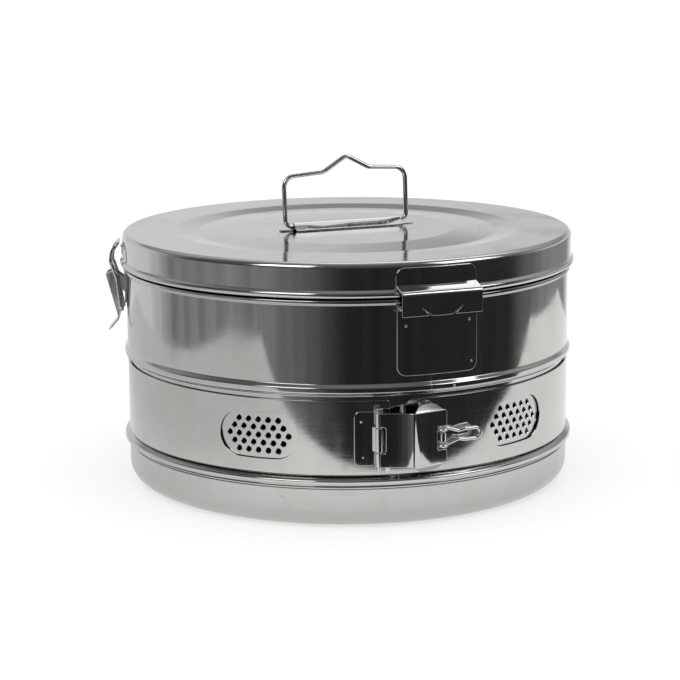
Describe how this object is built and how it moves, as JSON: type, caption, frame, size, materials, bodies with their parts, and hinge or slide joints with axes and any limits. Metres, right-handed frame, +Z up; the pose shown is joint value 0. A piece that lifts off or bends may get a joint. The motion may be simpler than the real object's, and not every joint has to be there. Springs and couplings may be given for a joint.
{
  "type": "sterilization drum",
  "caption": "Round metal box with a hinged lid, a wire handle, side latches and a turning vent band for steam sterilizing.",
  "frame": {"origin": "centre of the base's flat underside", "axes": "+Z up, -Y towards the lid hinge, +X to the right when the hinge faces the viewer"},
  "size_m": [0.3026, 0.304, 0.211],
  "materials": {
    "shell_steel": "polished stainless sheet, lightly handled",
    "pan_steel": "polished stainless sheet, drawn",
    "band_steel": "polished stainless strip, fine rolling lines",
    "lid_steel": "polished stainless sheet, spun",
    "strap_steel": "polished stainless strip",
    "handle_wire": "bright drawn stainless wire",
    "hinge_steel": "polished stainless plate",
    "pin_steel": "plain drawn stainless rod",
    "clasp_steel": "polished stainless plate",
    "catch_wire": "bright drawn stainless wire",
    "latch_steel": "polished stainless plate"
  },
  "bodies": {
    "drum": {"drum_shell": "shell_steel", "base_pan": "pan_steel", "hinge_lower_leaf": "hinge_steel", "hinge_pin": "pin_steel", "latch_bracket_left": "latch_steel", "latch_bracket_right": "latch_steel", "latch_pin_left": "pin_steel", "latch_pin_right": "pin_steel"},
    "lid": {"lid_shell": "lid_steel", "hinge_upper_leaf": "hinge_steel", "handle_strap": "strap_steel", "lid_catch_left": "latch_steel", "lid_catch_right": "latch_steel"},
    "handle": {"handle_bail": "handle_wire"},
    "band": {"vent_band": "band_steel", "clasp_band_leaf": "clasp_steel", "clasp_pin": "pin_steel", "catch_bracket": "clasp_steel", "catch_pin": "pin_steel"},
    "clasp": {"clasp_cover": "clasp_steel"},
    "catch": {"wire_catch": "catch_wire"},
    "lever_left": {"latch_lever_left": "latch_steel"},
    "lever_right": {"latch_lever_right": "latch_steel"},
    "hook_left": {"latch_bail_left": "catch_wire"},
    "hook_right": {"latch_bail_right": "catch_wire"}
  },
  "joints": [
    {"name": "lid_hinge", "type": "hinge", "parent": "drum", "child": "lid", "pos_m": [0, -0.151, 0.1353], "axis": [1, 0, 0], "range_deg": [0, 100]},
    {"name": "handle_swing", "type": "hinge", "parent": "lid", "child": "handle", "pos_m": [0, 0, 0.1658], "axis": [1, 0, 0], "range_deg": [-90, 90]},
    {"name": "band_turn", "type": "hinge", "parent": "drum", "child": "band", "pos_m": [0, 0, 0], "axis": [0, 0, 1], "continuous": true},
    {"name": "clasp_swing", "type": "hinge", "parent": "band", "child": "clasp", "pos_m": [-0.03834, -0.1446, 0.0564], "axis": [0, 0, -1], "range_deg": [0, 130]},
    {"name": "catch_swing", "type": "hinge", "parent": "band", "child": "catch", "pos_m": [0.00079, -0.1504, 0.0563], "axis": [0, 0, -1], "range_deg": [0, 100]},
    {"name": "latch_left", "type": "hinge", "parent": "drum", "child": "lever_left", "pos_m": [-0.14462, 0.05264, 0.1345], "axis": [0.342, 0.9397, 0], "range_deg": [-1.5, 130]},
    {"name": "latch_right", "type": "hinge", "parent": "drum", "child": "lever_right", "pos_m": [0.14462, 0.05264, 0.1345], "axis": [0.342, -0.9397, 0], "range_deg": [-1.5, 130]},
    {"name": "hook_left_swing", "type": "hinge", "parent": "lever_left", "child": "hook_left", "pos_m": [-0.13964, 0.05082, 0.112], "axis": [0.342, 0.9397, 0], "range_deg": [-196, 3]},
    {"name": "hook_right_swing", "type": "hinge", "parent": "lever_right", "child": "hook_right", "pos_m": [0.13964, 0.05082, 0.112], "axis": [0.342, -0.9397, 0], "range_deg": [-196, 3]}
  ],
  "couplings": [
    {"joint": "hook_left_swing", "follows": "latch_left", "ratio": -1.5},
    {"joint": "hook_right_swing", "follows": "latch_right", "ratio": -1.5}
  ]
}
